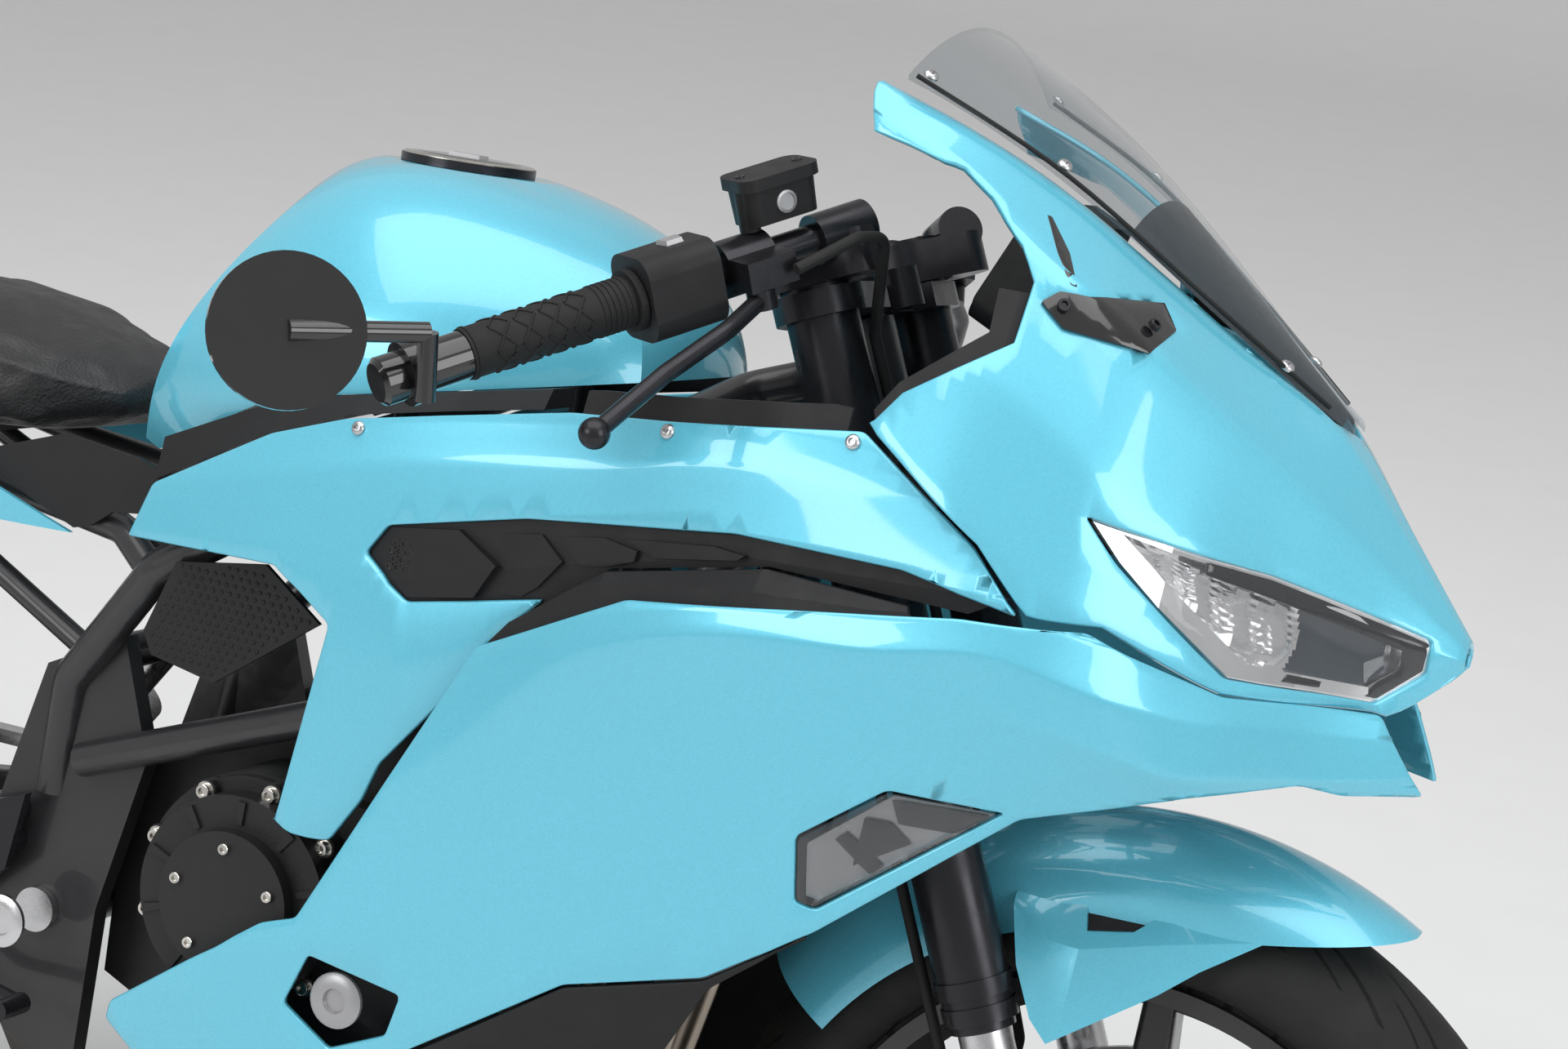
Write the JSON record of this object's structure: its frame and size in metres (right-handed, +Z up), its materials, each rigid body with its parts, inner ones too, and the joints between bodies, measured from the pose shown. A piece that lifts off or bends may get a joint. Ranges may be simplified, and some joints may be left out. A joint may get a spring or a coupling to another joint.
{
  "type": "sport motorcycle",
  "caption": "Faired road sport motorcycle with clip-on bars, bar-end mirrors, twin slanted headlights and a single seat hump, leaning on its side stand.",
  "frame": {"origin": "middle of the footprint box on the ground, the machine resting on its wheels and side stand", "axes": "+X forward, +Y to the rider's left, +Z up; the machine leans 11 degrees to the left"},
  "size_m": [1.9919, 0.9384, 1.1215],
  "materials": {
    "body_paint": "gloss metallic turquoise",
    "tank_paint": "gloss metallic turquoise",
    "black_plastic": "satin, fine grain",
    "black_gloss": "gloss",
    "frame_paint": "satin black",
    "engine_black": "satin black",
    "rim_paint": "satin black",
    "black_anodised": "anodised black",
    "steel": "ground",
    "exhaust_steel": "heat-tinted",
    "tyre": "road tread",
    "rubber": "matte",
    "seat_vinyl": "grained vinyl",
    "lamp_clear": "clear polycarbonate",
    "screen_tint": "light smoke",
    "lamp_red": "red lens"
  },
  "bodies": {
    "chassis": {"chain": "steel", "instrument": "black_plastic", "frame": "frame_paint", "swingarm": "frame_paint", "rear_shafts": "steel", "rear_caliper": "black_anodised", "shock": "steel", "engine": "engine_black", "engine_covers": "engine_black", "exhaust_headers": "exhaust_steel", "muffler": "black_anodised", "radiator": "engine_black", "footrests": "black_anodised", "fuel_tank": "tank_paint", "fuel_cap": "black_anodised", "rider_seat": "seat_vinyl", "seat_hump": "body_paint", "tail_panels": "body_paint", "tail_light": "lamp_red", "rear_fender": "black_plastic", "rear_indicators": "black_plastic", "nose_cowl": "body_paint", "headlight_lenses": "lamp_clear", "headlight_housings": "black_plastic", "windscreen": "screen_tint", "lower_side_panels": "body_paint", "belly_pan": "black_plastic", "indicator_lenses": "lamp_clear", "upper_side_panels": "body_paint", "side_vents": "black_plastic", "cockpit_panels": "black_plastic", "side_covers": "black_plastic", "fairing_stays": "frame_paint"},
    "steering": {"fork_outer_tubes": "black_anodised", "fork_legs": "steel", "front_axle": "steel", "triple_clamps": "black_anodised", "clip_ons": "black_anodised", "grips": "rubber", "bar_mirrors": "black_gloss", "switch_housings": "black_plastic", "levers": "black_anodised", "lever_perches": "black_anodised", "master_cylinder": "black_plastic", "brake_hoses": "rubber", "front_fender": "body_paint", "front_calipers": "black_anodised"},
    "front_wheel": {"front_rim": "rim_paint", "front_tyre": "tyre", "front_discs": "steel"},
    "rear_wheel": {"rear_rim": "rim_paint", "rear_tyre": "tyre", "rear_disc": "steel", "rear_sprocket": "steel"},
    "side_stand": {"side_stand": "frame_paint"}
  },
  "joints": [
    {"name": "steering_turn", "type": "hinge", "parent": "chassis", "child": "steering", "pos_m": [0.42416, -0.00558, 0.83424], "axis": [-0.3987, 0.175, 0.9002], "range_deg": [-30, 30]},
    {"name": "front_wheel_spin", "type": "hinge", "parent": "steering", "child": "front_wheel", "pos_m": [0.696, -0.1102, 0.29603], "axis": [0, 0.9816, -0.1908], "continuous": true},
    {"name": "rear_wheel_spin", "type": "hinge", "parent": "chassis", "child": "rear_wheel", "pos_m": [-0.684, -0.10791, 0.30781], "axis": [0, 0.9816, -0.1908], "continuous": true},
    {"name": "side_stand_swing", "type": "hinge", "parent": "chassis", "child": "side_stand", "pos_m": [-0.112, 0.02173, 0.23575], "axis": [0.2217, 0.7756, 0.591], "range_deg": [0, 110.4]}
  ]
}
